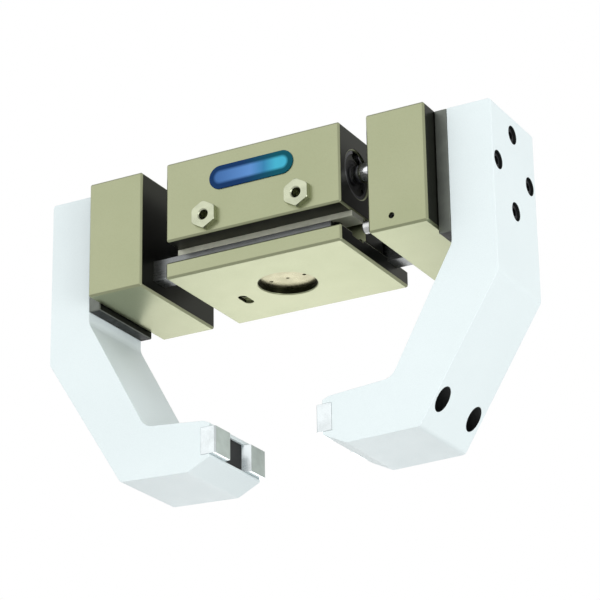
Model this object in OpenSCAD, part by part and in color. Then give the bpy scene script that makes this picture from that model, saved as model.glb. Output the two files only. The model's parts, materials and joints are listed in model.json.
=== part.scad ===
// Two-finger long-stroke pneumatic gripper.
// Frame: origin at the centre of the top mounting face, X along the stroke,
// -Y towards the face with the air ports, +Z up. Everything hangs below z = 0.
// All sizes are millimetres, drawn at the jaws' rest position.

/* [Housing] */
// Length of the housing along the stroke
body_l = 100; // [96:1:120]
// Width of the housing, front face to rear face
body_w = 73; // [72:1:90]
// Height of the cylinder block
block_h = 43.3; // [42:0.1:50]
// Height of the open guide slot between block and base plate
slot_h = 11.2; // [11:0.1:14]
// Thickness of the base plate
base_h = 9; // [8.5:0.1:12]
// Edge chamfer of the machined blocks
edge_chamfer = 1; // [0.3:0.1:1.5]

/* [Cylinders] */
// Radius of each cylinder bore
bore_r = 12.5; // [11:0.1:13]
// Distance of each cylinder axis from the centre plane
bore_y = 18; // [17:0.1:20]
// Depth of the cylinder axes below the top face
bore_z = 22; // [21:0.1:23]
// Radius of each piston rod
rod_r = 5; // [4:0.1:6]
// Travel of each jaw outwards from rest
open_travel = 16; // [8:0.1:16]
// Travel of each jaw inwards from rest
close_travel = 8.4; // [4:0.1:8.4]

/* [Rack and pinion] */
// Module of the synchronising gear
gear_module = 1; // [0.8:0.1:1]
// Number of pinion teeth, an even number
pinion_teeth = 24; // [20:2:24]
// Tooth play at the pitch line
backlash = 0.1; // [0.05:0.01:0.2]
// Thickness of each rack bar behind its tooth roots
bar_back = 11.25; // [9:0.25:11.25]

/* [Jaws] */
// Gap between housing and jaw at rest
rest_gap = 14.5; // [14.5:0.1:20]
// Thickness of each jaw block along the stroke
jaw_l = 32; // [30:1:40]
// Thickness of the adapter plate between jaw and finger
adapter_t = 6.7; // [5:0.1:10]
// Depth of the adapter plates and fingers, front to rear
finger_w = 50; // [50:1:60]
// Depth of the adapter's lower edge below the top face
adapter_bottom = 66.5; // [66:0.1:70]

/* [Fingers] */
// Thickness of the finger's upright part
upright_t = 23.6; // [20:0.1:28]
// Depth of the outer bend below the top face
bend_depth = 91.5; // [88:0.5:100]
// Total depth of the fingers below the top face
finger_depth = 162.8; // [160:0.1:175]
// Distance of the tip face from the centre plane
tip_x = 31.5; // [30:0.1:36]
// Height of each grip insert
insert_h = 14; // [13:0.5:15]
// Distance the insert's two pads stand out from the tip face
pad_out = 3.5; // [3:0.1:5]

/* [Hidden] */
$fn = 64;

// Fits
run_gap = 0.05;             // clearance on each side of a sliding face
seal_gap = 0.02;            // clearance of a soft ring to the face it runs on

// Levels, measured downwards from the top face
slot_top = -block_h;
slot_floor = -block_h - slot_h;
bottom = slot_floor - base_h;
strip_t = 3;
bar_top = slot_top - strip_t - run_gap;
groove_depth = 2.5;
bar_bottom = slot_floor - groove_depth + run_gap;

// Rack and pinion
pitch_r = gear_module * pinion_teeth / 2;
tooth_pitch = PI * gear_module;
pressure_angle = 20;
base_circle_r = pitch_r * cos(pressure_angle);
tip_r = pitch_r + 0.95 * gear_module;
root_r = pitch_r - 1.25 * gear_module;
tooth_half = (tooth_pitch / 2 - backlash) / 2;
rack_root_y = pitch_r + 1.25 * gear_module;
rack_tip_y = pitch_r - 0.95 * gear_module;
bar_outer_y = rack_root_y + bar_back;
rack_first = -7;
rack_last = 5;
pinion_top = bar_top - 0.5;
pinion_h = 7;
axle_r = 4;
bush_r = 6.5;
bush_flange_r = 8;
bush_flange_t = 1.5;
cap_r = 15;
cap_recess = 3;
cap_t = 2.2;
cap_top = bottom + cap_recess + cap_t;

// Slot-shaped pocket around the grease plug
pocket_w = 4.8;
pocket_half = 3.2;
pocket_depth = 2;
grease_d = 4;
grease_top = 6.5;

// Keels that join the block to the base plate on each side of the pinion
keel_w = 19;
keel_in = 18;
tie_xs = [-44, -22, 22, 44];
dowel_xs = [-33, 33];
tie_d = 5;
tie_seat = 5.5;
mount_dx = 80;
mount_dy = 60;
mount_r = 3;
mount_depth = 11;

// Cylinder stack, distances from the centre plane towards the jaw it drives
half_l = body_l / 2;
head_in = half_l - 14;
head_out = half_l - 2;
piston_out = head_in - 1 - open_travel;
piston_l = 18;
piston_in = piston_out - piston_l;
nut_t = 4;
bore_end = piston_in - nut_t - close_travel - 1.1;
rod_step = piston_in + 11;
piston_r = bore_r - run_gap;
stub_r = 4;
circlip_t = 1.2;
circlip_r = bore_r + 0.8;

// Air ports
port_x = 26.5;
port_z = -34;
port_r = 4.86;
port_depth = 8;
port_hex = 13;
port_hex_h = 3;
port_open_r = 2.5;

// Jaw stack, distances from the centre plane
jaw_in = half_l + rest_gap;
jaw_out = jaw_in + jaw_l;
jaw_top = -0.5;
bar_end = jaw_in + 20;
bar_free_end = half_l - 12;
adapter_out = jaw_out + adapter_t;
finger_out = adapter_out + upright_t;
finger_top = -1.5;

// Finger fasteners: four screws as a diamond
finger_screw_d = 5;
finger_counterbore_r = 4.75;
finger_clear_r = 2.75;
diamond_z = -32;
diamond_dy = 18.5;
diamond_dz = 20.5;
finger_screw_seat = finger_out - 6.3;
finger_screw_grip = 11;
adapter_dowels_yz = [[14, -10], [-14, -54]];
adapter_dowel_r = 3;

// Cap screws of the piston rods and grip inserts
screw_d = 6;
counterbore_r = 5.5;
clear_r = 3.3;

// Grip insert
insert_top = -141;
insert_back = tip_x + 5;
insert_thread = 5.5;
insert_screw_y = 17;
insert_screw_z = insert_top - 6.3;
insert_screw_seat = insert_back + 8;

// Stop pin of the right jaw; the racks make it stop both
stop_y = -29;
stop_z = -56.9;
stop_r = 3;
stop_tip = half_l + 0.1 + close_travel;
stop_grub_x = jaw_in + 12.8;

// Colours
anodised = [0.60, 0.57, 0.44];
alloy = [0.90, 0.92, 0.91];
black_anodised = [0.09, 0.10, 0.10];
steel = [0.66, 0.67, 0.70];
dark_steel = [0.33, 0.34, 0.36];
black_oxide = [0.16, 0.16, 0.17];
brass = [0.80, 0.66, 0.36];
bronze = [0.62, 0.44, 0.24];
nickel = [0.84, 0.82, 0.72];
rubber = [0.07, 0.07, 0.07];

// ---------- shared shapes ----------

// Cylinder along +X, starting at x
module x_rod(r, x, l, y = 0, z = 0) {
    translate([x, y, z]) rotate([0, 90, 0]) cylinder(r = r, h = l);
}

// Plain tube along +X, starting at x
module x_tube(ro, ri, x, l, y = 0, z = 0) {
    difference() {
        x_rod(ro, x, l, y, z);
        x_rod(ri, x - 1, l + 2, y, z);
    }
}

// Rectangle with cut corners, centred
module cut_rect(w, h, c) {
    polygon([
        [-w / 2 + c, -h / 2], [w / 2 - c, -h / 2], [w / 2, -h / 2 + c], [w / 2, h / 2 - c],
        [w / 2 - c, h / 2], [-w / 2 + c, h / 2], [-w / 2, h / 2 - c], [-w / 2, -h / 2 + c]
    ]);
}

// Box between two corners with every edge chamfered
module chamfer_box(low, high, c = edge_chamfer) {
    s = high - low;
    translate((low + high) / 2) intersection() {
        linear_extrude(s.z, center = true) cut_rect(s.x, s.y, c);
        rotate([90, 0, 0]) linear_extrude(s.y, center = true) cut_rect(s.x, s.z, c);
        rotate([90, 0, 90]) linear_extrude(s.x, center = true) cut_rect(s.y, s.z, c);
    }
}

// Box between two corners
module box(low, high) {
    translate(low) cube(high - low);
}

// Socket-head cap screw, head above z = 0 and shank below
module cap_screw(d, l) {
    head_r = d < 5.5 ? d * 0.85 : d / 1.2;
    socket_flats = d < 5.5 ? d * 0.8 : d / 1.2;
    c = d * 0.08;
    difference() {
        union() {
            rotate_extrude() polygon([[0, 0], [head_r, 0], [head_r, d - c], [head_r - c, d], [0, d]]);
            translate([0, 0, -l]) cylinder(d1 = d - 1, d2 = d, h = 0.5);
            translate([0, 0, 0.5 - l]) cylinder(d = d, h = l - 0.5);
        }
        translate([0, 0, d / 2]) cylinder(d = socket_flats / cos(30), h = d, $fn = 6);
    }
}

// Headless screw with a hex socket, top at z = 0
module grub_screw(d, l) {
    difference() {
        translate([0, 0, -l]) cylinder(d = d, h = l);
        translate([0, 0, -l / 2]) cylinder(d = d * 0.5 / cos(30), h = l, $fn = 6);
    }
}

// Countersunk screw, head face at z = 0 and shank below
module countersunk_screw(d, l) {
    difference() {
        union() {
            translate([0, 0, -d / 2]) cylinder(d1 = d, d2 = d * 2, h = d / 2);
            translate([0, 0, -l]) cylinder(d = d, h = l - d / 2);
        }
        translate([0, 0, -d * 0.3]) cylinder(d = d * 0.7 / cos(30), h = d, $fn = 6);
    }
}

// Points of a fillet of radius r at corner b, between neighbours a and c
function unit(v) = v / norm(v);
function wrapped(a) = a > 180 ? a - 360 : a < -180 ? a + 360 : a;
function corner_arc(a, b, c, r, n = 8) =
    let (u = unit(a - b), v = unit(c - b), half = acos(u * v) / 2)
    let (centre = b + unit(u + v) * r / sin(half), p = b + u * r / tan(half), q = b + v * r / tan(half))
    let (start = atan2(p.y - centre.y, p.x - centre.x), end = atan2(q.y - centre.y, q.x - centre.x))
    [for (i = [0:n]) let (t = start + wrapped(end - start) * i / n) centre + r * [cos(t), sin(t)]];

// Outline with each corner [x, y, radius] rounded by its own radius
function rounded(corners) =
    let (n = len(corners), p = [for (c = corners) [c.x, c.y]])
    [for (i = [0:n - 1])
        each corners[i].z > 0
            ? corner_arc(p[(i + n - 1) % n], p[i], p[(i + 1) % n], corners[i].z)
            : [p[i]]];

// ---------- housing ----------

// One cylinder bore, drilled from the +X end
module cylinder_bore() {
    x_rod(bore_r, bore_end, half_l - bore_end + 1, -bore_y, -bore_z);
    x_rod(circlip_r, head_out - run_gap, circlip_t + 2 * run_gap, -bore_y, -bore_z);
    translate([half_l - 0.6, -bore_y, -bore_z]) rotate([0, 90, 0])
        cylinder(r1 = bore_r, r2 = bore_r + 0.7, h = 0.7);
}

// Threaded port on the front face, with its drilling into the front bore
module air_port(x) {
    translate([x, -body_w / 2 - 1, port_z]) rotate([-90, 0, 0]) cylinder(r = port_r, h = port_depth + 1);
    translate([x, -body_w / 2, port_z + 3]) rotate([-90, 0, 0]) cylinder(r = 1.5, h = 14);
}

// Slot for magnetic switches along the rear face
module switch_slot() {
    slot_z = -bore_z;
    slot_y = body_w / 2;
    x_rod(1.9, -half_l - 1, body_l + 2, slot_y - 2.3, slot_z);
    box([-half_l - 1, slot_y - 2.3, slot_z - 1.4], [half_l + 1, slot_y + 1, slot_z + 1.4]);
}

module housing_block() {
    hx = half_l;
    hy = body_w / 2;
    color(anodised) difference() {
        union() {
            chamfer_box([-hx, -hy, slot_top], [hx, hy, 0]);
            for (s = [-1, 1]) {
                near = s * keel_in;
                far = s * (hx - 0.5);
                box([min(near, far), -keel_w / 2, slot_floor], [max(near, far), keel_w / 2, slot_top + 1]);
            }
        }
        cylinder_bore();
        rotate([0, 0, 180]) cylinder_bore();
        for (x = [-port_x, port_x]) air_port(x);
        // drilling from the left port along to the blind end of the front bore
        x_rod(1.5, -port_x, bore_end + port_x + 2, -26, -29);
        switch_slot();
        for (x = tie_xs) {
            translate([x, 0, -tie_seat]) cylinder(d = 9.5, h = tie_seat + 1);
            translate([x, 0, slot_floor - 1]) cylinder(d = tie_d + 0.5, h = -slot_floor + 1);
        }
        for (x = dowel_xs) {
            translate([x, 0, -8]) cylinder(r = 3, h = 9);
            translate([x, sign(x) * 6, slot_floor - 1]) cylinder(r = 2, h = 6);
        }
        for (x = [-mount_dx / 2, mount_dx / 2], y = [-mount_dy / 2, mount_dy / 2])
            translate([x, y, -mount_depth]) cylinder(r = mount_r, h = mount_depth + 1);
        translate([0, 0, slot_top - 1]) cylinder(r = bush_r, h = 9);
        guide_strip_screw_places() translate([0, 0, 3]) cylinder(d = 3, h = 5);
    }
}

// Places of the strip screws, at the block's underside
module guide_strip_screw_places() {
    for (x = [-38, 0, 38], s = [-1, 1])
        translate([x, s * (bar_outer_y - 6), slot_top - 4]) children();
}

module guide_strips() {
    color(steel) difference() {
        for (s = [-1, 1]) {
            inner = s * (bar_outer_y - 12);
            outer = s * bar_outer_y;
            box([-half_l, min(inner, outer), slot_top - strip_t], [half_l, max(inner, outer), slot_top]);
        }
        guide_strip_screw_places() cylinder(d = 3, h = 6);
        guide_strip_screw_places() translate([0, 0, 4 - strip_t]) cylinder(d1 = 6, d2 = 3, h = 1.5);
    }
}

module guide_strip_screws() {
    color(black_oxide) guide_strip_screw_places() translate([0, 0, 4 - strip_t]) mirror([0, 0, 1])
        countersunk_screw(3, 7);
}

module base_plate() {
    hx = half_l;
    hy = body_w / 2;
    color(anodised) difference() {
        chamfer_box([-hx, -hy, bottom], [hx, hy, slot_floor]);
        for (s = [-1, 1]) {
            inner = s * (rack_root_y - run_gap);
            outer = s * (bar_outer_y + run_gap);
            floor_z = slot_floor - groove_depth;
            box([-hx - 1, min(inner, outer), floor_z], [hx + 1, max(inner, outer), slot_floor + 1]);
        }
        for (x = tie_xs) translate([x, 0, slot_floor - 7]) cylinder(d = tie_d, h = 8);
        for (x = dowel_xs) translate([x, sign(x) * 6, slot_floor - 5]) cylinder(r = 2, h = 6);
        translate([0, 0, bottom - 1]) cylinder(r = bush_r, h = base_h + 2);
        translate([0, 0, bottom - 1]) cylinder(r = cap_r, h = cap_top - bottom + 1);
        translate([0, 0, bottom - 0.1]) cylinder(r1 = cap_r + 0.5, r2 = cap_r, h = 0.5);
        grease_place() {
            for (s = [-1, 1])
                translate([0, s * pocket_half, -1]) cylinder(d = pocket_w, h = pocket_depth + 1);
            box([-pocket_w / 2, -pocket_half, -1], [pocket_w / 2, pocket_half, pocket_depth]);
            cylinder(d = grease_d, h = grease_top);
        }
    }
}

// Cap screws that pull the base plate up against the keels
module tie_screws() {
    color(black_oxide) for (x = tie_xs)
        translate([x, 0, -tie_seat]) cap_screw(tie_d, -slot_floor - tie_seat + 6.5);
}

module base_dowels() {
    color(steel) for (x = dowel_xs) translate([x, sign(x) * 6, slot_floor - 5]) cylinder(r = 2, h = 10);
}

// Place of the grease pocket, at the base plate's underside
module grease_place() {
    translate([-29, 8, bottom]) children();
}

module grease_plug() {
    color(black_oxide) grease_place() translate([0, 0, pocket_depth + 0.2]) mirror([0, 0, 1])
        grub_screw(grease_d, 4);
}

// Guide and seal carrier closing the rod end of a bore
module cylinder_head() {
    color(anodised) difference() {
        x_rod(bore_r, head_in, head_out - head_in, -bore_y, -bore_z);
        x_rod(7, head_in - 1, head_out - head_in + 2, -bore_y, -bore_z);
        x_rod(8, head_out - 3.5, 5, -bore_y, -bore_z);
        x_tube(bore_r + 1, bore_r - 2.1, head_in + 4.5, 2.6, -bore_y, -bore_z);
        for (a = [0, 120, 240])
            translate([head_out - 3, -bore_y, -bore_z]) rotate([a, 0, 0]) translate([0, 0, 10.2])
                rotate([0, 90, 0]) cylinder(r = 1, h = 4);
    }
}

module front_cylinder_head() { cylinder_head(); }

module rear_cylinder_head() { rotate([0, 0, 180]) cylinder_head(); }

// Puts a copy of its child on each cylinder
module both_cylinders() {
    for (a = [0, 180]) rotate([0, 0, a]) children();
}

module head_seals() {
    color(rubber) both_cylinders() translate([head_in + 5.8, -bore_y, -bore_z]) rotate([0, 90, 0])
        rotate_extrude() translate([bore_r - 1, 0]) circle(r = 1, $fn = 24);
}

module head_circlips() {
    color(steel) both_cylinders() difference() {
        x_tube(circlip_r - run_gap, 10.8, head_out, circlip_t, -bore_y, -bore_z);
        translate([head_out - 1, -bore_y - 3, -bore_z]) cube([circlip_t + 2, 6, 20]);
    }
}

module rod_bushes() {
    color(bronze) both_cylinders()
        x_tube(7, rod_r + 0.03, head_in + 0.5, head_out - head_in - 4, -bore_y, -bore_z);
}

module rod_seals() {
    color(rubber) both_cylinders() translate([head_out - 3.5, -bore_y, -bore_z]) rotate([0, 90, 0])
        rotate_extrude() polygon([
            [rod_r + seal_gap, 0.8], [rod_r + 0.9, 0], [8, 0],
            [8, 3.3], [rod_r + 1.2, 3.3], [rod_r + seal_gap, 2.6]
        ]);
}

// Hexagonal reducing bush in an air port, with an open thread through it
module port_bush(x) {
    round_r = port_hex / 2 / cos(30);
    color(nickel) translate([x, -body_w / 2, port_z]) rotate([90, 0, 0]) difference() {
        union() {
            intersection() {
                rotate([0, 0, 30]) cylinder(r = round_r, h = port_hex_h, $fn = 6);
                cylinder(r1 = round_r + 2.5, r2 = round_r - 0.5, h = port_hex_h);
            }
            translate([0, 0, -7]) cylinder(r = port_r - 0.01, h = 7.5);
        }
        translate([0, 0, -8]) cylinder(r = port_open_r, h = port_hex_h + 9);
        translate([0, 0, port_hex_h - 0.6]) cylinder(r1 = port_open_r, r2 = port_open_r + 0.7, h = 0.7);
    }
}

module left_port_bush() { port_bush(-port_x); }

module right_port_bush() { port_bush(port_x); }

// Blank plate with round ends
module name_plate() {
    plate_l = 48;
    plate_h = 12.7;
    color([0.10, 0.28, 0.55]) translate([0, -body_w / 2, -14.8]) rotate([90, 0, 0]) linear_extrude(0.7) {
        square([plate_l - plate_h, plate_h], center = true);
        for (s = [-1, 1]) translate([s * (plate_l - plate_h) / 2, 0]) circle(d = plate_h);
    }
}

// Brass disc that closes the pinion bearing from below
module bearing_cap() {
    color(brass) difference() {
        translate([0, 0, bottom + cap_recess]) cylinder(r = cap_r - 0.02, h = cap_t);
        translate([0, 0, bottom + cap_recess - 1]) cylinder(r = 0.8, h = 2.5);
        for (s = [-1, 1]) translate([s * 9.5, 0, bottom + cap_recess - 1]) cylinder(r = 0.9, h = 2.2);
    }
}

// Flanged bushes above and below the pinion
module pinion_bushes() {
    color(bronze) {
        difference() {
            union() {
                translate([0, 0, slot_top]) cylinder(r = bush_r, h = 7.9);
                translate([0, 0, slot_top - bush_flange_t]) cylinder(r = bush_flange_r, h = bush_flange_t);
            }
            translate([0, 0, slot_top - 5]) cylinder(r = axle_r + 0.03, h = 20);
        }
        difference() {
            union() {
                translate([0, 0, cap_top]) cylinder(r = bush_r, h = slot_floor - cap_top);
                translate([0, 0, slot_floor]) cylinder(r = bush_flange_r, h = bush_flange_t / 3);
            }
            translate([0, 0, bottom]) cylinder(r = axle_r + 0.03, h = 20);
        }
    }
}

// ---------- pinion ----------

// Half-angle of a pinion tooth at radius r
function involute(a) = tan(a) * 180 / PI - a;
function tooth_angle(r) =
    tooth_half / pitch_r * 180 / PI + involute(pressure_angle) - involute(acos(min(1, base_circle_r / r)));

module pinion_outline() {
    flank = concat([root_r], [for (i = [0:4]) base_circle_r + (tip_r - base_circle_r) * i / 4]);
    steps = len(flank) - 1;
    step = 360 / pinion_teeth;
    polygon([for (k = [0:pinion_teeth - 1], side = [-1, 1], i = [0:steps])
        let (r = side < 0 ? flank[i] : flank[steps - i])
        let (a = 90 + step / 2 + k * step + side * tooth_angle(r))
        r * [cos(a), sin(a)]]);
}

module pinion_gear() {
    color(steel) difference() {
        union() {
            translate([0, 0, pinion_top - pinion_h]) linear_extrude(pinion_h) pinion_outline();
            translate([0, 0, pinion_top - 0.1]) cylinder(r = 7, h = slot_top - bush_flange_t - pinion_top);
        }
        translate([0, 0, bottom]) cylinder(r = axle_r, h = base_h + slot_h + 1);
    }
}

module pinion_axle() {
    color(dark_steel) translate([0, 0, cap_top + 0.1]) cylinder(r = axle_r, h = slot_top + 7.5 - cap_top);
}

// ---------- jaw assembly, drawn for the right-hand jaw ----------

// Places of the four finger screws, on the finger's seat face
module finger_screw_places() {
    for (a = [0, 90, 180, 270])
        translate([0, diamond_dy * sin(a), diamond_z + diamond_dz * cos(a)]) children();
}

module jaw_block(with_stop) {
    hy = body_w / 2;
    bar_y = bar_outer_y - bar_back / 2;
    bar_z = (bar_top + bar_bottom) / 2;
    color(anodised) difference() {
        chamfer_box([jaw_in, -hy, bottom], [jaw_out, hy, jaw_top]);
        // piston rod seat and its screw
        x_rod(rod_r, jaw_in - 1, 4, -bore_y, -bore_z);
        x_rod(clear_r, jaw_in, jaw_l + 1, -bore_y, -bore_z);
        x_rod(counterbore_r, jaw_out - 7, 8, -bore_y, -bore_z);
        // rack bar pocket and its screw
        box([jaw_in - 1, rack_root_y, bar_bottom], [bar_end, bar_outer_y, bar_top]);
        x_rod(2.8, bar_end - 1, jaw_l, bar_y, bar_z);
        x_rod(4.75, jaw_out - 6, 7, bar_y, bar_z);
        // finger screws and adapter dowels
        finger_screw_places() x_rod(finger_screw_d / 2, jaw_out - 12, 13);
        for (p = adapter_dowels_yz) x_rod(adapter_dowel_r, jaw_out - 5, 6, p.x, p.y);
        // stop pin and its clamping screw
        if (with_stop) {
            x_rod(stop_r, jaw_in - 1, 17, stop_y, stop_z);
            translate([stop_grub_x, -hy - 1, stop_z]) rotate([-90, 0, 0])
                cylinder(r = 1.5, h = hy + stop_y);
        }
    }
}

module rack_bar() {
    bar_y = bar_outer_y - bar_back / 2;
    bar_z = (bar_top + bar_bottom) / 2;
    tip_half = tooth_half - 0.95 * gear_module * tan(pressure_angle);
    root_half = tooth_half + 1.25 * gear_module * tan(pressure_angle);
    tongue = slot_floor + 0.1;
    color(steel) difference() {
        union() {
            translate([0, 0, tongue]) linear_extrude(bar_top - tongue) {
                translate([-bar_free_end, rack_root_y]) square([bar_end + bar_free_end, bar_back]);
                for (k = [rack_first:rack_last]) translate([k * tooth_pitch, 0]) polygon([
                    [-root_half, rack_root_y + 0.1], [-root_half, rack_root_y], [-tip_half, rack_tip_y],
                    [tip_half, rack_tip_y], [root_half, rack_root_y], [root_half, rack_root_y + 0.1]
                ]);
            }
            box([-bar_free_end, rack_root_y, bar_bottom], [bar_end, bar_outer_y, tongue + 0.1]);
        }
        x_rod(2.5, bar_end - 18, 19, bar_y, bar_z);
    }
}

module bar_screw() {
    bar_y = bar_outer_y - bar_back / 2;
    bar_z = (bar_top + bar_bottom) / 2;
    color(black_oxide) translate([jaw_out - 6, bar_y, bar_z]) rotate([0, 90, 0]) cap_screw(5, 20);
}

module right_stop_pin() {
    color(steel) {
        x_rod(stop_r, stop_tip + 1, jaw_in + 15.5 - stop_tip - 1, stop_y, stop_z);
        translate([stop_tip, stop_y, stop_z]) rotate([0, 90, 0])
            cylinder(r1 = stop_r - 1, r2 = stop_r, h = 1);
    }
}

module right_stop_grub_screw() {
    depth = body_w / 2 + stop_y - stop_r;
    color(black_oxide) translate([stop_grub_x, -body_w / 2 + 1.5, stop_z]) rotate([90, 0, 0])
        grub_screw(3, depth - 1.5);
}

module piston_rod() {
    color(steel) difference() {
        union() {
            x_rod(stub_r, piston_in - nut_t, rod_step - piston_in + nut_t + 0.1, -bore_y, -bore_z);
            x_rod(rod_r, rod_step, jaw_in + 3 - rod_step, -bore_y, -bore_z);
        }
        x_rod(screw_d / 2, jaw_in - 15, 20, -bore_y, -bore_z);
    }
}

module piston() {
    land = 12;
    color(alloy) difference() {
        union() {
            x_rod(piston_r, piston_in, land, -bore_y, -bore_z);
            x_rod(8, piston_in + land - 0.1, piston_l - land + 0.1, -bore_y, -bore_z);
        }
        x_rod(stub_r, piston_in - 1, 13, -bore_y, -bore_z);
        x_rod(rod_r, rod_step, piston_out - rod_step + 1, -bore_y, -bore_z);
        x_tube(bore_r + 1, 9.5, piston_in + 2, 3, -bore_y, -bore_z);
        x_tube(bore_r + 1, 11.2, piston_in + 7, 3.5, -bore_y, -bore_z);
    }
}

// Lip seal in the piston's first groove
module piston_seal() {
    color(rubber) translate([piston_in + 2, -bore_y, -bore_z]) rotate([0, 90, 0]) rotate_extrude() polygon([
        [9.5, 0.1], [bore_r - 0.8, 0.1], [bore_r - seal_gap, 0.7], [bore_r - seal_gap, 2.2],
        [bore_r - 0.8, 2.9], [9.5, 2.9]
    ]);
}

module piston_ring() {
    color([0.75, 0.70, 0.58])
        x_tube(bore_r - seal_gap, 11.2, piston_in + 7, 3.5, -bore_y, -bore_z);
}

module piston_magnet() {
    color(dark_steel) x_tube(11.4, 8, piston_in + 12, 4, -bore_y, -bore_z);
}

module piston_nut() {
    color(steel) translate([piston_in - nut_t, -bore_y, -bore_z]) rotate([0, 90, 0]) difference() {
        cylinder(d = 13 / cos(30), h = nut_t, $fn = 6);
        translate([0, 0, -1]) cylinder(r = stub_r, h = nut_t + 2);
    }
}

module rod_screw() {
    color(black_oxide) translate([jaw_out - 7, -bore_y, -bore_z]) rotate([0, 90, 0])
        cap_screw(screw_d, 35);
}

module adapter() {
    hy = finger_w / 2;
    color(black_anodised) difference() {
        chamfer_box([jaw_out, -hy, -adapter_bottom], [adapter_out, hy, finger_top], 0.4);
        finger_screw_places() x_rod(finger_clear_r, jaw_out - 1, adapter_t + 2);
        for (p = adapter_dowels_yz) x_rod(adapter_dowel_r, jaw_out - 1, adapter_t + 2, p.x, p.y);
    }
}

module adapter_dowels() {
    color(steel) for (p = adapter_dowels_yz) x_rod(adapter_dowel_r, jaw_out - 4.5, 16, p.x, p.y);
}

// C-shaped outline in the XZ plane: [x, z, corner radius]
heel_rise = 1.3;
finger_corners = [
    [adapter_out, finger_top, 0.8],
    [finger_out, finger_top, 1.5],
    [finger_out, -bend_depth, 5],
    [83, heel_rise - finger_depth, 3],
    [44, -finger_depth, 4],
    [tip_x, -156.6, 0.8],
    [tip_x, -139, 0.8],
    [35, -137.5, 2],
    [69, -134.5, 8],
    [adapter_out, -72.5, 8]
];

module finger() {
    color(alloy) difference() {
        rotate([90, 0, 0]) linear_extrude(finger_w, center = true) polygon(rounded(finger_corners));
        // upright: counterbored screw holes and dowel holes
        finger_screw_places() {
            x_rod(finger_clear_r, adapter_out - 1, upright_t);
            x_rod(finger_counterbore_r, finger_screw_seat, upright_t);
        }
        for (p = adapter_dowels_yz) x_rod(adapter_dowel_r, adapter_out - 1, 6, p.x, p.y);
        // tip: insert seat and the long access holes for its screws
        box([tip_x - 1, -finger_w, insert_top - insert_h], [insert_back, finger_w, insert_top]);
        for (s = [-1, 1]) {
            x_rod(clear_r, insert_back - 1, 12, s * insert_screw_y, insert_screw_z);
            x_rod(counterbore_r, insert_screw_seat, 70, s * insert_screw_y, insert_screw_z);
        }
    }
}

module finger_screws() {
    color(black_oxide) finger_screw_places() translate([finger_screw_seat, 0, 0]) rotate([0, 90, 0])
        cap_screw(finger_screw_d, finger_screw_seat - jaw_out + finger_screw_grip);
}

// Hardened jaw insert: two pads, with an upright channel between them
module grip_insert() {
    pad_x = tip_x - pad_out;
    half_w = finger_w / 2;
    corner = 0.8;
    channel_x = pad_x + 4.8;
    channel_mouth = 10.5;
    channel_floor = 9;
    color(dark_steel) difference() {
        translate([0, 0, insert_top - insert_h]) linear_extrude(insert_h) polygon([
            [insert_back, -half_w], [pad_x + corner, -half_w], [pad_x, corner - half_w],
            [pad_x, -channel_mouth], [channel_x, -channel_floor],
            [channel_x, channel_floor], [pad_x, channel_mouth],
            [pad_x, half_w - corner], [pad_x + corner, half_w], [insert_back, half_w]
        ]);
        thread_x = insert_back - insert_thread;
        for (y = [-insert_screw_y, insert_screw_y])
            x_rod(screw_d / 2, thread_x, insert_thread + 1, y, insert_screw_z);
    }
}

module insert_screws() {
    color(black_oxide) for (s = [-1, 1])
        translate([insert_screw_seat, s * insert_screw_y, insert_screw_z]) rotate([0, 90, 0])
            cap_screw(screw_d, 13);
}

// ---------- right-hand and left-hand assemblies ----------

// The left side is the right side turned half a turn about the vertical axis
module turned() { rotate([0, 0, 180]) children(); }

module right_jaw_block() { jaw_block(with_stop = true); }
module right_rack_bar() { rack_bar(); }
module right_bar_screw() { bar_screw(); }
module right_piston_rod() { piston_rod(); }
module right_piston() { piston(); }
module right_piston_seal() { piston_seal(); }
module right_piston_ring() { piston_ring(); }
module right_piston_magnet() { piston_magnet(); }
module right_piston_nut() { piston_nut(); }
module right_rod_screw() { rod_screw(); }
module right_adapter() { adapter(); }
module right_adapter_dowels() { adapter_dowels(); }
module right_finger() { finger(); }
module right_finger_screws() { finger_screws(); }
module right_grip_insert() { grip_insert(); }
module right_insert_screws() { insert_screws(); }

module left_jaw_block() { turned() jaw_block(with_stop = false); }
module left_rack_bar() { turned() rack_bar(); }
module left_bar_screw() { turned() bar_screw(); }
module left_piston_rod() { turned() piston_rod(); }
module left_piston() { turned() piston(); }
module left_piston_seal() { turned() piston_seal(); }
module left_piston_ring() { turned() piston_ring(); }
module left_piston_magnet() { turned() piston_magnet(); }
module left_piston_nut() { turned() piston_nut(); }
module left_rod_screw() { turned() rod_screw(); }
module left_adapter() { turned() adapter(); }
module left_adapter_dowels() { turned() adapter_dowels(); }
module left_finger() { turned() finger(); }
module left_finger_screws() { turned() finger_screws(); }
module left_grip_insert() { turned() grip_insert(); }
module left_insert_screws() { turned() insert_screws(); }

// ---------- selection ----------

housing_block();
base_plate();
guide_strips();
guide_strip_screws();
tie_screws();
base_dowels();
front_cylinder_head();
rear_cylinder_head();
head_seals();
head_circlips();
rod_bushes();
rod_seals();
left_port_bush();
right_port_bush();
name_plate();
grease_plug();
bearing_cap();
pinion_bushes();
pinion_gear();
pinion_axle();
left_jaw_block();
left_rack_bar();
left_bar_screw();
left_piston_rod();
left_piston();
left_piston_seal();
left_piston_ring();
left_piston_magnet();
left_piston_nut();
left_rod_screw();
left_adapter();
left_adapter_dowels();
left_finger();
left_finger_screws();
left_grip_insert();
left_insert_screws();
right_jaw_block();
right_rack_bar();
right_bar_screw();
right_stop_pin();
right_stop_grub_screw();
right_piston_rod();
right_piston();
right_piston_seal();
right_piston_ring();
right_piston_magnet();
right_piston_nut();
right_rod_screw();
right_adapter();
right_adapter_dowels();
right_finger();
right_finger_screws();
right_grip_insert();
right_insert_screws();
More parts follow.
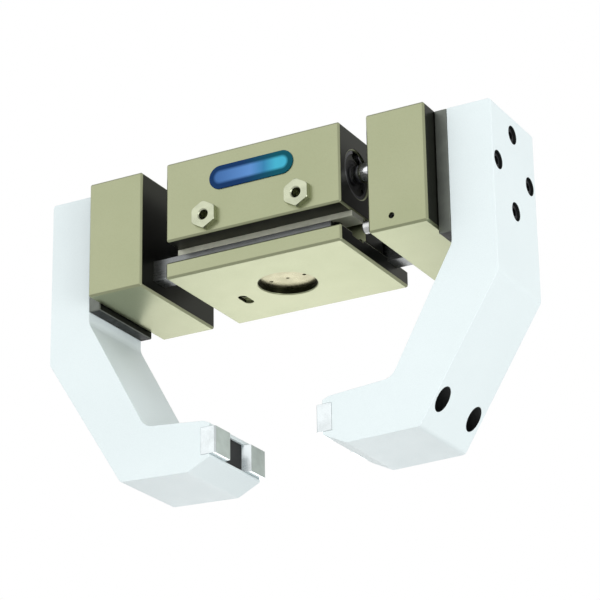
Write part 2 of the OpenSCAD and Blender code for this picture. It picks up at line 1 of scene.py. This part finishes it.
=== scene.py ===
"""Looks of a two-finger, long-stroke pneumatic gripper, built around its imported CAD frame.

Units are metres, in the CAD frame: X along the jaw stroke, -Y the face with the air ports,
+Z up, origin at the centre of the top mounting face. Lengths named *_MM are millimetres.
"""

import json
import math

import bmesh
import bpy
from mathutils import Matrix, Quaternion, Vector


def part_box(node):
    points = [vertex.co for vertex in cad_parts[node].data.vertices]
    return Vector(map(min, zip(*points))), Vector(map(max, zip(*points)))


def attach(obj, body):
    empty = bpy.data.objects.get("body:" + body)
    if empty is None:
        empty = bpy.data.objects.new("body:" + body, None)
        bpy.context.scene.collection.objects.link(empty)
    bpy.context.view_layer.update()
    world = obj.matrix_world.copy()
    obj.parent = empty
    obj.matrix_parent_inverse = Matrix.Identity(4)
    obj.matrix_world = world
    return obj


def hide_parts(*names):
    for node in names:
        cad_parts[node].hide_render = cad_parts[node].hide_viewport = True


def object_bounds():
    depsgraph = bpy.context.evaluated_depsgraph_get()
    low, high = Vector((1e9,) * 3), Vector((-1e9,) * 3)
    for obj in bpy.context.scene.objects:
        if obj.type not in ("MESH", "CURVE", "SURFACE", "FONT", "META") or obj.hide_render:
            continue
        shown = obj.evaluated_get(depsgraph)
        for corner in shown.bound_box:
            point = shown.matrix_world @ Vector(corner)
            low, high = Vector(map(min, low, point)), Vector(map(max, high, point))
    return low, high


MM = 0.001

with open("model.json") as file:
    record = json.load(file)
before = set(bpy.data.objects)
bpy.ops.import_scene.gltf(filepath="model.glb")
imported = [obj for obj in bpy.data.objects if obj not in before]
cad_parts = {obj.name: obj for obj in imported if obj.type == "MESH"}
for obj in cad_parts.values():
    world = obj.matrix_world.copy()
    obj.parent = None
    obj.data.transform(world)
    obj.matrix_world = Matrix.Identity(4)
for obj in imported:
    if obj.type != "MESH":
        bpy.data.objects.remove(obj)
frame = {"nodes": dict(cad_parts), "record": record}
nodes = frame["nodes"]
cad_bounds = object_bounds()
low, high = Vector(cad_bounds[0]), Vector(cad_bounds[1])
middle = (low + high) / 2


# ---------------------------------------------------------------- camera, light and ground

VIEW_AZIMUTH = math.radians(28.55)
VIEW_ELEVATION = math.radians(-21.72)
VIEW_ROLL = math.radians(-0.92)
VIEW_DISTANCE = 1.255
VIEW_LENS_MM = 150
SENSOR_WIDTH_MM = 36
CLIP_START = 0.05
CLIP_END = 60
AIM_OFFSET = Vector((6.7, 1.7, 7.7)) * MM
FLOOR_DROP = 1.3
FLOOR_RADIUS = 9
FLOOR_SEGMENTS = 96

# Areas of the white studio walls: azimuth and elevation in degrees, the cosines between which
# the change takes place, and the brightness inside.
DIM_SIDE = (115, 5, 0.2, 0.82, 0.7)
DIM_CEILING = (0, 90, 0.5, 0.95, 0.6)
FRONT_LEFT_SOFTBOX = (-28.5, 21.7, 0.55, 0.9, 1.35)


def direction(azimuth, elevation):
    """Unit vector from the object towards a viewer; azimuth 0 is -Y, and turns towards +X."""
    flat = math.cos(elevation)
    return Vector((math.sin(azimuth) * flat, -math.cos(azimuth) * flat, math.sin(elevation)))


def add_camera():
    """Camera below and to the right of the object, aimed a little beside its middle."""
    data = bpy.data.cameras.new("camera")
    data.lens = VIEW_LENS_MM
    data.sensor_width = SENSOR_WIDTH_MM
    data.clip_start = CLIP_START
    data.clip_end = CLIP_END
    camera = bpy.data.objects.new("camera", data)
    bpy.context.scene.collection.objects.link(camera)
    outward = direction(VIEW_AZIMUTH, VIEW_ELEVATION)
    camera.location = middle + AIM_OFFSET + outward * VIEW_DISTANCE
    camera.rotation_mode = "QUATERNION"
    roll = Quaternion((0, 0, 1), VIEW_ROLL)
    camera.rotation_quaternion = (-outward).to_track_quat("-Z", "Y") @ roll
    bpy.context.scene.camera = camera


def add_area_light(name, azimuth, elevation, distance, size, power):
    """A square soft light that faces the middle of the object; angles in degrees."""
    data = bpy.data.lights.new(name, "AREA")
    data.size = size
    data.energy = power
    light = bpy.data.objects.new(name, data)
    bpy.context.scene.collection.objects.link(light)
    outward = direction(math.radians(azimuth), math.radians(elevation))
    light.location = middle + outward * distance
    light.rotation_mode = "QUATERNION"
    light.rotation_quaternion = (-outward).to_track_quat("-Z", "Y")


def add_world():
    """White studio walls: a dim side at the right, a dim ceiling and a brighter front-left."""
    world = bpy.data.worlds.new("studio")
    world.use_nodes = True
    tree = world.node_tree
    place = tree.nodes.new("ShaderNodeTexCoord").outputs["Generated"]

    def area(azimuth, elevation, start, end, brightness):
        """1 away from a direction, changing smoothly to the brightness given close to it."""
        facing = tree.nodes.new("ShaderNodeVectorMath")
        facing.operation = "DOT_PRODUCT"
        facing.inputs[1].default_value = direction(math.radians(azimuth), math.radians(elevation))
        tree.links.new(place, facing.inputs[0])
        change = tree.nodes.new("ShaderNodeMapRange")
        change.interpolation_type = "SMOOTHSTEP"
        change.inputs["From Min"].default_value = start
        change.inputs["From Max"].default_value = end
        change.inputs["To Min"].default_value = 1
        change.inputs["To Max"].default_value = brightness
        tree.links.new(facing.outputs["Value"], change.inputs["Value"])
        return change.outputs["Result"]

    def product(a, b):
        node = tree.nodes.new("ShaderNodeMath")
        node.operation = "MULTIPLY"
        tree.links.new(a, node.inputs[0])
        tree.links.new(b, node.inputs[1])
        return node.outputs["Value"]

    dimmed = product(area(*DIM_SIDE), area(*DIM_CEILING))
    background = tree.nodes["Background"]
    background.inputs["Color"].default_value = (1, 1, 1, 1)
    tree.links.new(product(dimmed, area(*FRONT_LEFT_SOFTBOX)), background.inputs["Strength"])
    bpy.context.scene.world = world


def add_floor():
    """Round pale floor well below the hanging object."""
    mesh = bpy.data.meshes.new("studio_floor")
    b = bmesh.new()
    bmesh.ops.create_circle(b, cap_ends=True, radius=FLOOR_RADIUS, segments=FLOOR_SEGMENTS)
    bmesh.ops.translate(b, verts=b.verts, vec=(0, 0, low.z - FLOOR_DROP))
    b.to_mesh(mesh)
    b.free()
    floor = bpy.data.objects.new("studio_floor", mesh)
    bpy.context.scene.collection.objects.link(floor)
    floor.data.materials.append(plain_floor())


# ---------------------------------------------------------------- material building blocks


class Surface:
    """A material around one Principled shader, with short helpers for its texture nodes."""

    def __init__(self, name, metallic=0.0, roughness=0.5, **sockets):
        self.material = bpy.data.materials.new(name)
        self.material.use_nodes = True
        self.tree = self.material.node_tree
        self.shader = self.tree.nodes["Principled BSDF"]
        self.shader.inputs["Metallic"].default_value = metallic
        self.shader.inputs["Roughness"].default_value = roughness
        for socket, value in sockets.items():
            self.shader.inputs[socket.replace("_", " ")].default_value = value
        self.place = self.tree.nodes.new("ShaderNodeTexCoord").outputs["Object"]

    def link(self, source, target):
        self.tree.links.new(source, target)

    def drive(self, socket, source):
        """Feeds a shader socket from a texture."""
        self.link(source, self.shader.inputs[socket])

    def stretched(self, x, y, z):
        """Object coordinates in millimetres, divided by a grain size along each axis."""
        mapping = self.tree.nodes.new("ShaderNodeMapping")
        mapping.inputs["Scale"].default_value = (1 / (x * MM), 1 / (y * MM), 1 / (z * MM))
        self.link(self.place, mapping.inputs["Vector"])
        return mapping.outputs["Vector"]

    def noise(self, grain, detail=2.0, rough=0.5):
        """Noise whose grain is a size in millimetres, or one size for each axis."""
        sizes = grain if isinstance(grain, tuple) else (grain, grain, grain)
        node = self.tree.nodes.new("ShaderNodeTexNoise")
        node.inputs["Scale"].default_value = 1
        node.inputs["Detail"].default_value = detail
        node.inputs["Roughness"].default_value = rough
        self.link(self.stretched(*sizes), node.inputs["Vector"])
        return node.outputs["Fac"]

    def spread(self, value, low_out, high_out, low_in=0.3, high_in=0.7):
        """Maps a texture value onto another range."""
        node = self.tree.nodes.new("ShaderNodeMapRange")
        node.inputs["From Min"].default_value = low_in
        node.inputs["From Max"].default_value = high_in
        node.inputs["To Min"].default_value = low_out
        node.inputs["To Max"].default_value = high_out
        self.link(value, node.inputs["Value"])
        return node.outputs["Result"]

    def ramp(self, value, *stops):
        """Colours along a value; each stop is (position, (r, g, b))."""
        node = self.tree.nodes.new("ShaderNodeValToRGB")
        elements = node.color_ramp.elements
        while len(elements) < len(stops):
            elements.new(0.5)
        for element, (position, color) in zip(elements, stops):
            element.position = position
            element.color = (*color, 1)
        self.link(value, node.inputs["Fac"])
        return node.outputs["Color"]

    def math(self, operation, a, b=0):
        """Arithmetic on one texture, on two, or on a texture and a number."""
        node = self.tree.nodes.new("ShaderNodeMath")
        node.operation = operation
        for socket, value in zip(node.inputs, (a, b)):
            if isinstance(value, (int, float)):
                socket.default_value = value
            else:
                self.link(value, socket)
        return node.outputs["Value"]

    def blend(self, mask, a, b, mode="MIX"):
        """Mixes two colours by a mask; each colour is a texture or (r, g, b)."""
        node = self.tree.nodes.new("ShaderNodeMix")
        node.data_type = "RGBA"
        node.blend_type = mode
        if isinstance(mask, (int, float)):
            node.inputs["Factor"].default_value = mask
        else:
            self.link(mask, node.inputs["Factor"])
        for name, value in (("A", a), ("B", b)):
            socket = [s for s in node.inputs if s.name == name and s.type == "RGBA"][0]
            if isinstance(value, tuple):
                socket.default_value = (*value, 1)
            else:
                self.link(value, socket)
        return [s for s in node.outputs if s.type == "RGBA"][0]

    def bump(self, height, depth_mm, strength=1.0, under=None):
        """Adds relief of the given depth, on top of an earlier relief."""
        node = self.tree.nodes.new("ShaderNodeBump")
        node.inputs["Strength"].default_value = strength
        node.inputs["Distance"].default_value = depth_mm * MM
        self.link(height, node.inputs["Height"])
        if under is not None:
            self.link(under, node.inputs["Normal"])
        self.drive("Normal", node.outputs["Normal"])
        return node.outputs["Normal"]

    def axis(self, name):
        """One object coordinate, in metres."""
        node = self.tree.nodes.new("ShaderNodeSeparateXYZ")
        self.link(self.place, node.inputs["Vector"])
        return node.outputs[name]

    def radius(self, centre, axes):
        """Distance from a line through centre, measured in the plane of two axes, in metres."""
        squares = []
        for name in axes:
            offset = self.math("SUBTRACT", self.axis(name), centre["XYZ".index(name)])
            squares.append(self.math("MULTIPLY", offset, offset))
        return self.math("SQRT", self.math("ADD", *squares))


# ---------------------------------------------------------------- materials

# Tones of the two anodised finishes: the lighter one, then the darker one.
OLIVE_TONES = ((0.360, 0.380, 0.243), (0.338, 0.362, 0.225))
GREY_TONES = ((0.170, 0.184, 0.162), (0.140, 0.152, 0.136))
# Share of those tones left on faces that stay in shade. It stands in for the shade: the finish
# itself is most likely the same all over.
SHADED_OLIVE = 0.07
SHADED_GREY = 0.10
# How much of its colour a metal keeps where it is tarnished or stained.
TARNISH = 0.95
STAIN = 0.82
LABEL_RIM_MM = 2.3
LABEL_FADE_MM = 1.6


def plain_floor():
    """Pale, matt and almost even."""
    s = Surface("studio_floor", roughness=0.8)
    cloud = s.noise(400)
    s.drive("Base Color", s.ramp(cloud, (0.3, (0.79, 0.79, 0.79)), (0.7, (0.82, 0.82, 0.82))))
    return s.material


def hard_anodised(name, painted_shade_factor):
    """Hard-anodised aluminium, olive: slight tone drift, fine pores and faint milling lines.

    The last argument scales the colour: 1 is the open faces, and less paints shade on the faces
    that stay in shade.
    """
    s = Surface(name, metallic=1.0, roughness=0.33)
    drift = s.noise(45)
    thin, thick = (tuple(painted_shade_factor * c for c in tone) for tone in OLIVE_TONES)
    tone = s.ramp(drift, (0.3, thick), (0.7, thin))
    speckle = s.noise(0.35, rough=0.7)
    pores = s.ramp(speckle, (0.32, (0.84, 0.84, 0.82)), (0.5, (1, 1, 1)))
    s.drive("Base Color", s.blend(0.5, tone, pores, "MULTIPLY"))
    s.drive("Roughness", s.spread(s.noise(9), 0.325, 0.34))
    lines = s.noise((30, 0.5, 0.5))
    s.bump(speckle, 0.010, 0.4, under=s.bump(lines, 0.008, 0.4))
    return s.material


def blasted_alloy():
    """Bead-blasted, clear-anodised light alloy, almost white."""
    s = Surface("finger_alloy", roughness=0.45)
    cloud = s.noise(60)
    tone = s.ramp(cloud, (0.3, (0.790, 0.880, 0.890)), (0.7, (0.815, 0.905, 0.915)))
    beads = s.noise(0.28, rough=0.6)
    shade = s.ramp(beads, (0.3, (0.90, 0.90, 0.91)), (0.6, (1, 1, 1)))
    s.drive("Base Color", s.blend(0.5, tone, shade, "MULTIPLY"))
    s.drive("Roughness", s.spread(s.noise(8), 0.42, 0.50))
    s.bump(beads, 0.012, 0.4)
    return s.material


def black_anodised(name, painted_shade_factor):
    """Black-anodised aluminium, worn slightly grey in patches; the last argument scales the colour,
    and below 1 it paints shade on faces that stay in shade.
    """
    s = Surface(name, metallic=0.9, roughness=0.42)
    worn, dark = (tuple(painted_shade_factor * c for c in tone) for tone in GREY_TONES)
    tone = s.ramp(s.noise(9, detail=3), (0.3, dark), (0.7, worn))
    s.drive("Base Color", tone)
    s.drive("Roughness", s.spread(s.noise(3, detail=3), 0.38, 0.52))
    s.bump(s.noise(0.3), 0.01, 0.4)
    return s.material


def ground_steel(name, grain, bright, roughness, metallic=1.0):
    """Ground metal: fine scratches along the longest grain axis, and slight staining.

    With one grain size for all axes the scratches become a fine mottle, as on plating.
    """
    s = Surface(name, metallic=metallic, roughness=roughness)
    scratches = s.noise(grain, detail=4, rough=0.7)
    dark = tuple(STAIN * c for c in bright)
    stain = s.ramp(s.noise(7, detail=3), (0.25, dark), (0.6, bright))
    lines = s.ramp(scratches, (0.3, (0.86, 0.86, 0.87)), (0.6, (1, 1, 1)))
    s.drive("Base Color", s.blend(0.7, stain, lines, "MULTIPLY"))
    s.drive("Roughness", s.spread(scratches, roughness - 0.08, roughness + 0.1))
    s.bump(scratches, 0.006, 0.5)
    return s.material


def turned_metal(name, color, centre, axes, pitch_mm, roughness):
    """Metal turned on a lathe: fine rings around an axis, and slight tarnish."""
    s = Surface(name, metallic=1.0, roughness=roughness)
    phase = s.math("MULTIPLY", s.radius(centre, axes), 2 * math.pi / (pitch_mm * MM))
    rings = s.math("SINE", phase)
    dark = tuple(TARNISH * c for c in color)
    s.drive("Base Color", s.ramp(s.noise(9), (0.3, dark), (0.7, color)))
    s.drive("Roughness", s.spread(s.noise(6), roughness - 0.03, roughness + 0.04))
    s.bump(rings, 0.002, 0.4)
    return s.material


def bore_painted_shade():
    """Walls of deep holes, and the floor of the inserts' channel: near-black painted shade, with
    faint rings.
    """
    s = Surface("bore_painted_shade", metallic=0.4, roughness=0.5)
    rings = s.noise((0.4, 12, 12))
    tone = s.ramp(rings, (0.3, (0.010, 0.011, 0.011)), (0.7, (0.022, 0.024, 0.024)))
    s.drive("Base Color", tone)
    s.bump(rings, 0.02, 0.5)
    return s.material


def black_oxide():
    """Blackened screw steel with slightly brighter rubbed patches."""
    s = Surface("black_oxide", metallic=0.9, roughness=0.4)
    rub = s.noise(1.6, detail=4, rough=0.6)
    tone = s.ramp(rub, (0.4, (0.025, 0.026, 0.029)), (0.75, (0.075, 0.075, 0.08)))
    s.drive("Base Color", tone)
    s.drive("Roughness", s.spread(rub, 0.32, 0.5))
    s.bump(s.noise(0.25), 0.006, 0.4)
    return s.material


def hard_chrome():
    """Polished piston rod with a slight haze along it."""
    s = Surface("hard_chrome", metallic=1.0, roughness=0.12)
    haze = s.noise((1.5, 0.3, 0.3), detail=3)
    s.drive("Base Color", s.ramp(haze, (0.3, (0.72, 0.73, 0.75)), (0.7, (0.82, 0.83, 0.85))))
    s.drive("Roughness", s.spread(haze, 0.08, 0.18))
    return s.material


def nitrile():
    """Seal rubber."""
    s = Surface("nitrile", roughness=0.6)
    cloud = s.noise(2, detail=3)
    s.drive("Base Color", s.ramp(cloud, (0.3, (0.012, 0.012, 0.012)), (0.7, (0.03, 0.03, 0.03))))
    s.bump(s.noise(0.3), 0.01, 0.4)
    return s.material


def guide_plastic():
    """Filled plastic of the pistons' guide rings."""
    s = Surface("guide_plastic", roughness=0.5)
    filler = s.noise(1, detail=4)
    s.drive("Base Color", s.ramp(filler, (0.3, (0.50, 0.44, 0.31)), (0.7, (0.64, 0.57, 0.42))))
    return s.material


def sintered(name, dark, bright, metallic):
    """Pressed and sintered metal with open pores."""
    s = Surface(name, metallic=metallic, roughness=0.5)
    pores = s.noise(0.25, detail=3, rough=0.7)
    s.drive("Base Color", s.ramp(pores, (0.35, dark), (0.6, bright)))
    s.bump(pores, 0.02, 0.5)
    return s.material


def label_film():
    """Blank label: a dark rim around a paler field, both turning from blue to teal along it."""
    s = Surface("label_film", roughness=0.35, Specular_IOR_Level=0.05)
    box_low, box_high = (Vector(corner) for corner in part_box("name_plate"))
    along = s.spread(s.axis("X"), 0, 1, box_low.x, box_high.x)
    rim = s.ramp(along, (0.4, (0.006, 0.035, 0.120)), (0.8, (0.003, 0.085, 0.120)))
    field = s.ramp(
        along,
        (0.1, (0.055, 0.150, 0.380)),
        (0.5, (0.110, 0.270, 0.600)),
        (0.66, (0.040, 0.220, 0.420)),
        (0.8, (0.060, 0.430, 0.600)),
    )
    half_h = (box_high.z - box_low.z) / 2
    half_straight = (box_high.x - box_low.x) / 2 - half_h
    centre_z = (box_high.z + box_low.z) / 2
    from_middle = s.math("ABSOLUTE", s.axis("X"))
    beyond = s.math("MAXIMUM", s.math("SUBTRACT", from_middle, half_straight))
    up = s.math("SUBTRACT", s.axis("Z"), centre_z)
    squares = s.math("ADD", s.math("MULTIPLY", beyond, beyond), s.math("MULTIPLY", up, up))
    inset = s.math("SUBTRACT", half_h, s.math("SQRT", squares))
    inside = s.spread(inset, 0, 1, LABEL_RIM_MM * MM, (LABEL_RIM_MM + LABEL_FADE_MM) * MM)
    s.drive("Base Color", s.blend(inside, rim, field))
    s.bump(s.noise(1.2), 0.01, 0.3)
    return s.material


SURFACES = {
    "anodised": hard_anodised("hard_anodised", 1.0),
    # A darkened copy of the olive anodising: painted shade for faces that stay in shade.
    "anodised_painted_shade": hard_anodised("hard_anodised_painted_shade", SHADED_OLIVE),
    "finger_alloy": blasted_alloy(),
    "black_anodised": black_anodised("black_anodised", 1.0),
    # A darkened copy of the black anodising: painted shade on the adapters' end and lower faces.
    "black_anodised_painted_shade": black_anodised("black_anodised_painted_shade", SHADED_GREY),
    "bare_alloy": ground_steel("bare_alloy", (0.3, 5, 5), (0.80, 0.80, 0.81), 0.3),
    "ground_steel": ground_steel("ground_steel", (14, 0.25, 0.25), (0.62, 0.63, 0.62), 0.28),
    # A darkened copy of the ground steel: painted shade on the rack bars inside their slot.
    "rack_steel_painted_shade": ground_steel("rack_steel_painted_shade", (14, 0.25, 0.25), (0.22, 0.23, 0.23), 0.3),
    "guide_steel": ground_steel("guide_steel", (14, 0.25, 0.25), (0.60, 0.61, 0.50), 0.45, 0.25),
    "chromed_rod": hard_chrome(),
    "tool_steel": ground_steel("tool_steel", (0.3, 10, 0.3), (0.70, 0.75, 0.76), 0.2),
    "spring_steel": ground_steel("spring_steel", (1, 1, 1), (0.16, 0.16, 0.17), 0.35),
    "black_oxide": black_oxide(),
    "brass": turned_metal("turned_brass", (0.315, 0.30, 0.185), (0, 0, 0), "XY", 0.9, 0.28),
    "bronze": sintered("sintered_bronze", (0.22, 0.12, 0.05), (0.50, 0.31, 0.14), 0.9),
    "nickel": ground_steel("nickel_plate", (6, 6, 6), (0.52, 0.55, 0.40), 0.3),
    "nitrile": nitrile(),
    "guide_plastic": guide_plastic(),
    "magnet": sintered("sintered_magnet", (0.03, 0.03, 0.035), (0.10, 0.10, 0.11), 0.8),
    "label_blue": label_film(),
    # The pads' gripping faces: a darker, matt copy of the insert's steel, painted shade on these
    # faces.
    "pad_painted_shade": ground_steel("pad_painted_shade", (0.3, 10, 0.3), (0.50, 0.57, 0.53), 0.5, 0.1),
    "bore_painted_shade": bore_painted_shade(),
}


# ---------------------------------------------------------------- pieces

SLOT_OF = {entry["node"]: entry["material_slot"] for entry in frame["record"]["subparts"]}
BODY_OF = {
    name: body
    for body, names in frame["record"]["behaviour"]["bodies"].items()
    for name in names
}
# Nodes whose surface isn't the one named like their material slot.
OTHER_SURFACE = {
    # Painted shade: the cylinder heads get the darkened olive anodising.
    "front_cylinder_head": "anodised_painted_shade",
    "rear_cylinder_head": "anodised_painted_shade",
    "guide_strips": "guide_steel",
    # Painted shade: the rack bars get the darkened ground steel.
    "left_rack_bar": "rack_steel_painted_shade",
    "right_rack_bar": "rack_steel_painted_shade",
}
EDGE_WIDTHS_MM = {
    "housing_block": 0.25,
    "base_plate": 0.25,
    "left_jaw_block": 0.25,
    "right_jaw_block": 0.25,
    "left_adapter": 0.15,
    "right_adapter": 0.15,
    "left_finger": 0.35,
    "right_finger": 0.35,
    "left_grip_insert": 0.12,
    "right_grip_insert": 0.12,
    "left_rack_bar": 0.15,
    "right_rack_bar": 0.15,
    "name_plate": 0.2,
    "left_port_bush": 0.12,
    "right_port_bush": 0.12,
    "bearing_cap": 0.15,
    "guide_strips": 0.15,
}
EDGE_SEGMENTS = 3
MERGE_DISTANCE = 1e-6
FLAT_ANGLE = math.radians(0.4)
SHARP_ANGLE = math.radians(28)
SMOOTH_ANGLE = math.radians(42)
NARROW_FACE_RATIO = 3

# How far a face's normal points along an axis: more than SQUARE_ON for a face square to it,
# and less than ALONGSIDE, or ALONGSIDE_RECESS, for a wall that runs along it.
SQUARE_ON = 0.95
ALONGSIDE = 0.35
ALONGSIDE_RECESS = 0.3

PAD_X_MM = 29
CHANNEL_FLOOR_X_MM = 34
INSERT_BORE_R_MM = 5.5
COUNTERBORE_R_MM = 4.75
FINGER_SCREW_HEAD_R_MM = 4.25
BORE_MARGIN_MM = 0.1
RECESS_MARGIN_MM = 0.5


def cleaned_copy(node):
    """Mesh of a CAD node with doubled points merged and flat areas joined into single faces."""
    mesh = nodes[node].data.copy()
    mesh.name = node + "_edged"
    b = bmesh.new()
    b.from_mesh(mesh)
    bmesh.ops.remove_doubles(b, verts=b.verts, dist=MERGE_DISTANCE)
    bmesh.ops.dissolve_limit(
        b, angle_limit=FLAT_ANGLE, verts=b.verts, edges=b.edges, use_dissolve_boundaries=False
    )
    b.to_mesh(mesh)
    b.free()
    return mesh


def apply_modifiers(piece):
    """Replaces a piece's mesh by what its modifiers make of it."""
    depsgraph = bpy.context.evaluated_depsgraph_get()
    result = bpy.data.meshes.new_from_object(piece.evaluated_get(depsgraph))
    piece.modifiers.clear()
    old = piece.data
    piece.data = result
    bpy.data.meshes.remove(old)


def settle_normals(mesh):
    """Shading normals: wide faces stay flat, and the narrow rounded edges blend between them."""
    mesh.shade_smooth()
    faces_at = [[] for _ in mesh.vertices]
    for face in mesh.polygons:
        for vertex in face.vertices:
            faces_at[vertex].append(face)
    smooth_limit = math.cos(SMOOTH_ANGLE)
    normals = [None] * len(mesh.loops)
    for face in mesh.polygons:
        for loop in face.loop_indices:
            near = faces_at[mesh.loops[loop].vertex_index]
            near = [(f.area, f.normal) for f in near if f.normal.dot(face.normal) > smooth_limit]
            widest = max((area for area, _ in near), default=0)
            wide = (area * n for area, n in near if area > widest / NARROW_FACE_RATIO)
            total = sum(wide, Vector())
            normals[loop] = total.normalized() if total.length > 0 else face.normal.copy()
    mesh.normals_split_custom_set(normals)


def edged_piece(node, width_mm):
    """Stands for a CAD node: the same shape and surface, with every sharp edge slightly rounded."""
    piece = bpy.data.objects.new(node + "_edged", cleaned_copy(node))
    bpy.context.scene.collection.objects.link(piece)
    bevel = piece.modifiers.new("edges", "BEVEL")
    bevel.width = width_mm * MM
    bevel.segments = EDGE_SEGMENTS
    bevel.limit_method = "ANGLE"
    bevel.angle_limit = SHARP_ANGLE
    bevel.use_clamp_overlap = False
    apply_modifiers(piece)
    settle_normals(piece.data)
    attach(piece, BODY_OF[node])
    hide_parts(node)
    return piece


def add_surface(node, surface, chosen):
    """Gives some faces of a node's edged piece another surface; chosen says which faces."""
    mesh = edged[node].data
    mesh.materials.append(SURFACES[surface])
    for face in mesh.polygons:
        if chosen(face):
            face.material_index = len(mesh.materials) - 1


def end_faces(face):
    """Faces that look along the stroke."""
    return abs(face.normal.x) > SQUARE_ON


def end_and_lower_faces(face):
    return end_faces(face) or face.normal.z < -SQUARE_ON


def pad_faces(face):
    """Gripping faces of an insert's two pads."""
    return end_faces(face) and abs(face.center.x) < PAD_X_MM * MM


def channel_floor(face):
    """Floor of the upright channel between the pads."""
    return end_faces(face) and PAD_X_MM * MM < abs(face.center.x) < CHANNEL_FLOOR_X_MM * MM


def end_faces_and_recess(recess_r):
    """Picks the end faces of the base plate, and the wall of the round recess around the disc."""

    def chosen(face):
        central = math.hypot(face.center.x, face.center.y) < recess_r
        return end_faces(face) or (central and abs(face.normal.z) < ALONGSIDE_RECESS)

    return chosen


def walls_of_bores(bores):
    """Picks the walls of holes along X; each bore is (y, z, radius), in metres."""

    def chosen(face):
        inside = any(math.hypot(face.center.y - y, face.center.z - z) < r for y, z, r in bores)
        return inside and abs(face.normal.x) < ALONGSIDE

    return chosen


def finger_bores(side):
    """A finger's two key ways and, as a diamond above them, its four counterbores."""
    screws_low, screws_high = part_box(side + "_insert_screws")
    z = (screws_low[2] + screws_high[2]) / 2
    head_r = (screws_high[2] - screws_low[2]) / 2
    radius = (INSERT_BORE_R_MM + BORE_MARGIN_MM) * MM
    key_ways = [(y, z, radius) for y in (screws_low[1] + head_r, screws_high[1] - head_r)]

    screws_low, screws_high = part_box(side + "_finger_screws")
    y, z = ((screws_low[axis] + screws_high[axis]) / 2 for axis in (1, 2))
    across, up = (
        (screws_high[axis] - screws_low[axis]) / 2 - FINGER_SCREW_HEAD_R_MM * MM for axis in (1, 2)
    )
    radius = (COUNTERBORE_R_MM + BORE_MARGIN_MM) * MM
    places = ((y + across, z), (y - across, z), (y, z + up), (y, z - up))
    return key_ways + [(*place, radius) for place in places]


# ---------------------------------------------------------------- the scene

add_camera()
add_world()
add_floor()

for name, node in nodes.items():
    node.data.materials.clear()
    node.data.materials.append(SURFACES[OTHER_SURFACE.get(name, SLOT_OF[name])])

edged = {name: edged_piece(name, width) for name, width in EDGE_WIDTHS_MM.items()}

# Painted shade: the faces that stay in shade, the walls of deep holes, the inserts' channel floors
# and pads get darker surfaces than the rest.
disc_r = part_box("bearing_cap")[1][0]  # the disc is centred on the Z axis
recess = end_faces_and_recess(disc_r + RECESS_MARGIN_MM * MM)
add_surface("housing_block", "anodised_painted_shade", end_and_lower_faces)
add_surface("base_plate", "anodised_painted_shade", recess)
for side in ("left", "right"):
    add_surface(side + "_finger", "bore_painted_shade", walls_of_bores(finger_bores(side)))
    add_surface(side + "_jaw_block", "anodised_painted_shade", end_faces)
    add_surface(side + "_grip_insert", "pad_painted_shade", pad_faces)
    add_surface(side + "_grip_insert", "bore_painted_shade", channel_floor)
    add_surface(side + "_adapter", "black_anodised_painted_shade", end_and_lower_faces)

add_area_light("key_rear_left_low", -152, -24, distance=1.0, size=0.3, power=0.58)
add_area_light("right", 70, -12, distance=2.0, size=1.0, power=14)

bpy.context.scene.view_settings.view_transform = "Standard"
